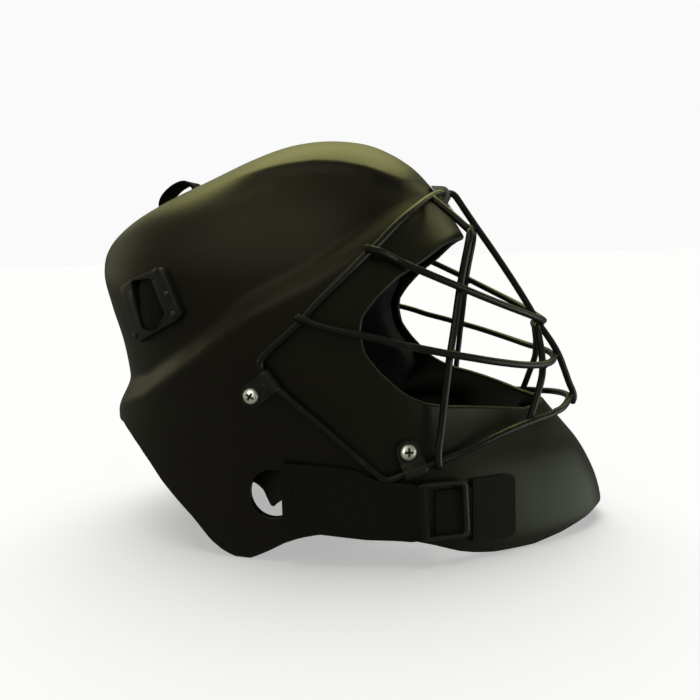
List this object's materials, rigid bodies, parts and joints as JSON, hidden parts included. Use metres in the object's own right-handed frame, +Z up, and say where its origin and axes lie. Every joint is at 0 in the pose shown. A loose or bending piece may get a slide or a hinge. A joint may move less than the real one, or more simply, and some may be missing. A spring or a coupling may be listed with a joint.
{
  "type": "field hockey goalkeeper helmet",
  "caption": "Moulded full-head sports helmet with a bent wire face cage, folded clips, foam pads, side rings and an elastic neck strap.",
  "frame": {"origin": "centre of the helmet's footprint, on the surface it stands on", "axes": "+X forwards through the face opening, +Y to the wearer's left, +Z up"},
  "size_m": [0.346, 0.2242, 0.257],
  "materials": {
    "shell_plastic": "satin",
    "coated_wire": "semi-gloss",
    "clip_plastic": "satin",
    "brow_clip_plastic": "textured",
    "zinc_steel": "bright zinc",
    "dark_rivet": "satin",
    "plate_plastic": "satin",
    "web_fabric": "woven",
    "elastic": "woven elastic",
    "elastic_end": "woven elastic with hook-and-loop",
    "ring_plastic": "satin",
    "anchor_weave": "herringbone weave",
    "inner_plastic": "matte",
    "foam": "closed-cell foam"
  },
  "bodies": {
    "helmet": {"shell": "shell_plastic", "cage_rim": "coated_wire", "upper_bar": "coated_wire", "lower_bar": "coated_wire", "centre_wire": "coated_wire", "brow_hoop": "coated_wire", "mouth_hoop": "coated_wire", "brow_strut_right": "coated_wire", "brow_strut_left": "coated_wire", "upper_clip_right": "clip_plastic", "upper_clip_left": "clip_plastic", "lower_clip_right": "clip_plastic", "lower_clip_left": "clip_plastic", "clip_screws": "zinc_steel", "clip_nuts": "zinc_steel", "brow_clip": "brow_clip_plastic", "brow_rivets": "zinc_steel", "slot_plate_right": "plate_plastic", "slot_plate_left": "plate_plastic", "slot_plate_rivets": "dark_rivet", "harness_web_right": "web_fabric", "harness_web_left": "web_fabric", "harness_web_top": "web_fabric", "neck_strap": "elastic", "strap_end_right": "elastic_end", "strap_end_left": "elastic_end", "ring_anchor_right": "anchor_weave", "ring_anchor_left": "anchor_weave", "anchor_rivets": "dark_rivet", "side_pad_right": "foam", "side_pad_left": "foam", "jaw_pad_right": "foam", "jaw_pad_left": "foam", "brow_pad": "foam", "chin_pad": "foam", "crown_pad": "foam", "rear_pad_right": "foam", "rear_pad_left": "foam"},
    "ring_right": {"buckle_ring_right": "ring_plastic"},
    "ring_left": {"buckle_ring_left": "ring_plastic"},
    "back_plate": {"occipital_plate": "inner_plastic", "occipital_pad": "foam"}
  },
  "joints": [
    {"name": "ring_right_turn", "type": "hinge", "parent": "helmet", "child": "ring_right", "pos_m": [0.08551, -0.08901, 0.03143], "axis": [-0.0432, 0.1055, 0.9935], "range_deg": [0, 15], "deforming": ["strap_end_right"]},
    {"name": "ring_left_turn", "type": "hinge", "parent": "helmet", "child": "ring_left", "pos_m": [0.08551, 0.08901, 0.03143], "axis": [0.0432, 0.1055, -0.9935], "range_deg": [0, 15], "deforming": ["strap_end_left"]},
    {"name": "back_plate_slide", "type": "slide", "parent": "helmet", "child": "back_plate", "axis": [1, 0, 0], "range_m": [0, 0.015], "deforming": ["harness_web_right", "harness_web_left", "harness_web_top"]}
  ]
}
